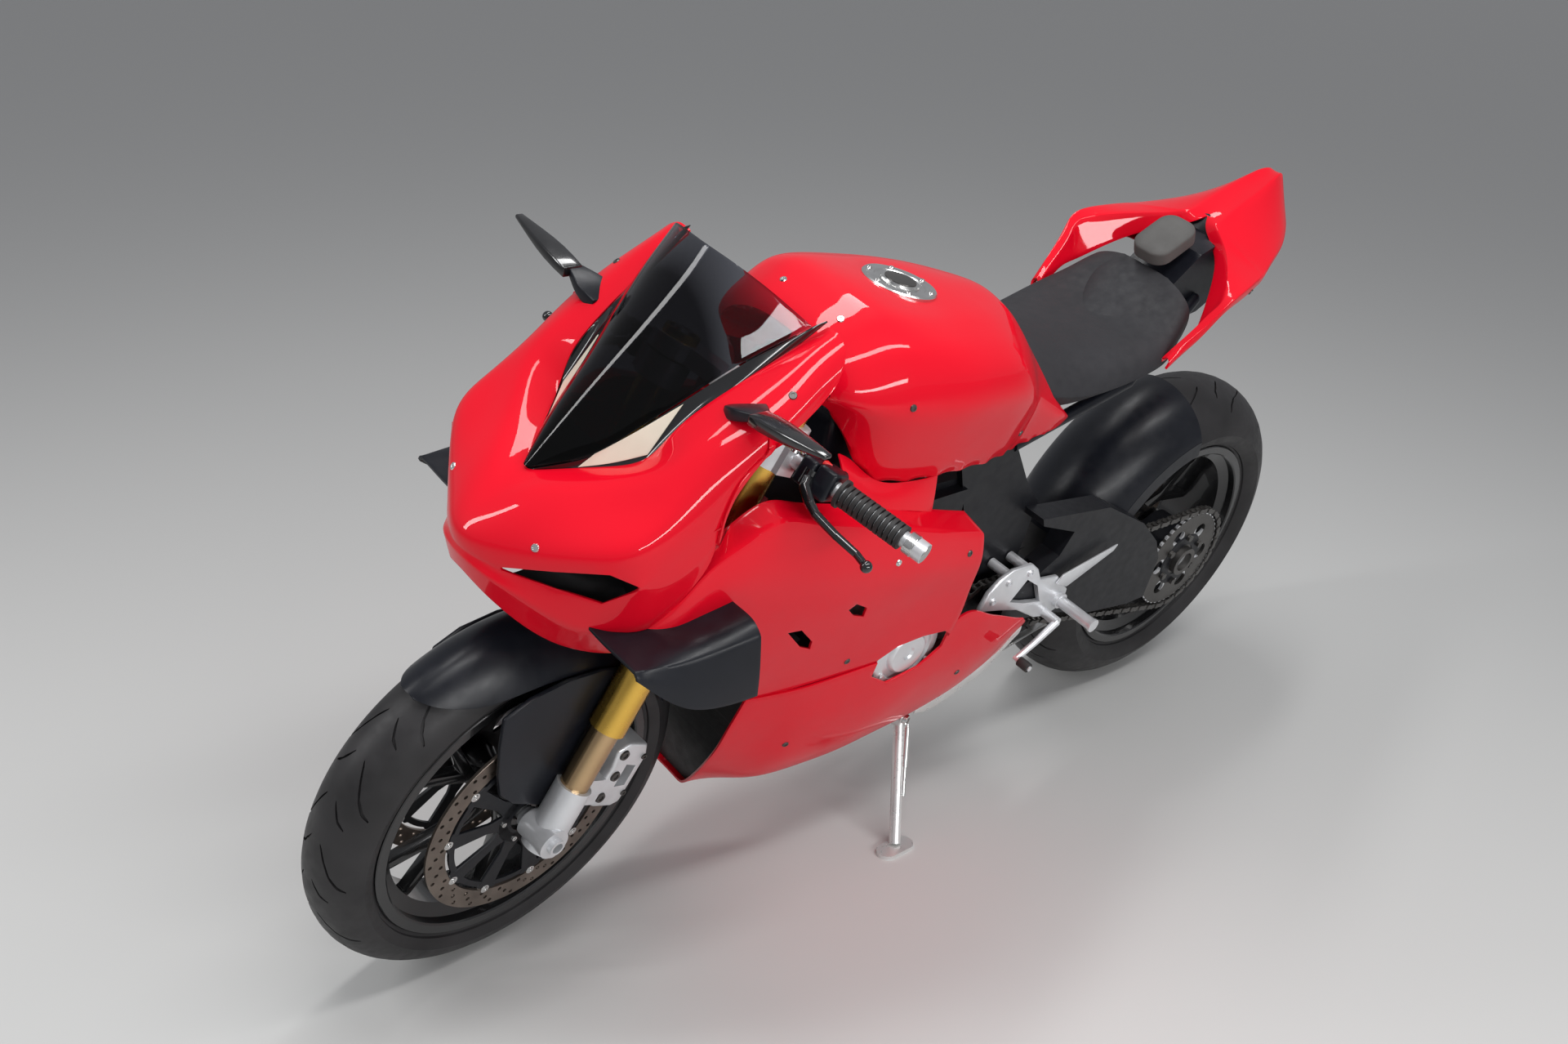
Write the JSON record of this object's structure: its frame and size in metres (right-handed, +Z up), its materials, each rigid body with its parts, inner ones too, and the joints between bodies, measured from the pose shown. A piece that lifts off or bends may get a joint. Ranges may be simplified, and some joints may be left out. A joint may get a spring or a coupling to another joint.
{
  "type": "sport motorcycle",
  "caption": "Fully faired sport motorcycle with inverted fork, single-sided swingarm, winglets and a solo seat, leaning on its side stand.",
  "frame": {"origin": "centre of the bounding box in plan, on the floor both tyres stand on", "axes": "+X forwards, +Y to the rider's left, +Z up from the floor; the machine leans to its left and its steering is turned a little to the left"},
  "size_m": [2.1042, 0.6998, 1.1074],
  "materials": {
    "belly_fairings": "gloss red paint over moulded panels",
    "clip_ons": "satin silver",
    "control_clusters": "matt black",
    "drive_chain": "bare steel",
    "engine_block": "dark grey",
    "engine_covers": "satin silver",
    "exhaust_shields": "satin silver",
    "exhaust_silencer": "bare steel",
    "foot_pedals": "bare steel",
    "footrests": "satin silver",
    "fork_feet": "satin silver",
    "fork_outer_tubes": "gold anodised",
    "fork_sliders": "bronze-tinted hard chrome",
    "frame": "satin silver",
    "front_callipers": "satin silver",
    "front_discs": "ground steel",
    "front_fender": "matt black",
    "front_rim": "black finish",
    "front_tyre": "black rubber",
    "fuel_cap": "satin silver",
    "fuel_tank": "gloss red paint over sheet metal",
    "grips": "black rubber",
    "intake_liners": "matt black",
    "levers": "black anodised",
    "mirrors": "matt black",
    "nose_fairing": "gloss red paint over moulded panels",
    "radiator": "black core",
    "rear_calliper": "satin silver",
    "rear_disc": "ground steel",
    "rear_hugger": "matt black",
    "rear_rim": "black finish",
    "rear_shock": "bare steel",
    "rear_spindle": "bare steel",
    "rear_subframe": "matt black",
    "rear_tyre": "black rubber",
    "rider_seat": "matt black seat cover",
    "screen_side_panels": "pale beige",
    "side_fairings": "gloss red paint over moulded panels",
    "side_stand": "satin silver",
    "swingarm": "black finish",
    "tail_cowl": "gloss red paint over moulded panels",
    "tail_pad": "grey foam pad",
    "triple_clamps": "satin silver",
    "windscreen": "dark smoked acrylic",
    "winglets": "matt black"
  },
  "bodies": {
    "chassis": {"belly_fairings": "belly_fairings", "drive_chain": "drive_chain", "engine_block": "engine_block", "engine_covers": "engine_covers", "exhaust_shields": "exhaust_shields", "exhaust_silencer": "exhaust_silencer", "foot_pedals": "foot_pedals", "footrests": "footrests", "frame": "frame", "fuel_cap": "fuel_cap", "fuel_tank": "fuel_tank", "intake_liners": "intake_liners", "mirrors": "mirrors", "nose_fairing": "nose_fairing", "radiator": "radiator", "rear_calliper": "rear_calliper", "rear_hugger": "rear_hugger", "rear_shock": "rear_shock", "rear_subframe": "rear_subframe", "rider_seat": "rider_seat", "screen_side_panels": "screen_side_panels", "side_fairings": "side_fairings", "swingarm": "swingarm", "tail_cowl": "tail_cowl", "tail_pad": "tail_pad", "windscreen": "windscreen", "winglets": "winglets"},
    "steering": {"fork_outer_tubes": "fork_outer_tubes", "fork_sliders": "fork_sliders", "fork_feet": "fork_feet", "front_callipers": "front_callipers", "triple_clamps": "triple_clamps", "clip_ons": "clip_ons", "grips": "grips", "control_clusters": "control_clusters", "levers": "levers", "front_fender": "front_fender"},
    "front_wheel": {"front_tyre": "front_tyre", "front_rim": "front_rim", "front_discs": "front_discs"},
    "rear_wheel": {"rear_tyre": "rear_tyre", "rear_rim": "rear_rim", "rear_disc": "rear_disc", "rear_spindle": "rear_spindle"},
    "side_stand": {"side_stand": "side_stand"}
  },
  "joints": [
    {"name": "steering", "type": "hinge", "parent": "chassis", "child": "steering", "pos_m": [0.48026, -0.00863, 0.80431], "axis": [-0.4135, 0.1737, 0.8938], "range_deg": [-28.5, 19.5]},
    {"name": "front_wheel_spin", "type": "hinge", "parent": "steering", "child": "front_wheel", "pos_m": [0.75274, -0.10515, 0.294], "axis": [-0.0714, 0.9724, -0.2221], "continuous": true},
    {"name": "rear_wheel_spin", "type": "hinge", "parent": "chassis", "child": "rear_wheel", "pos_m": [-0.71612, -0.10049, 0.3317], "axis": [0, 0.9816, -0.1908], "continuous": true},
    {"name": "side_stand_swing", "type": "hinge", "parent": "chassis", "child": "side_stand", "pos_m": [0.01172, -0.01439, 0.18771], "axis": [-0.2549, 0.961, -0.107], "range_deg": [0, 95]}
  ]
}
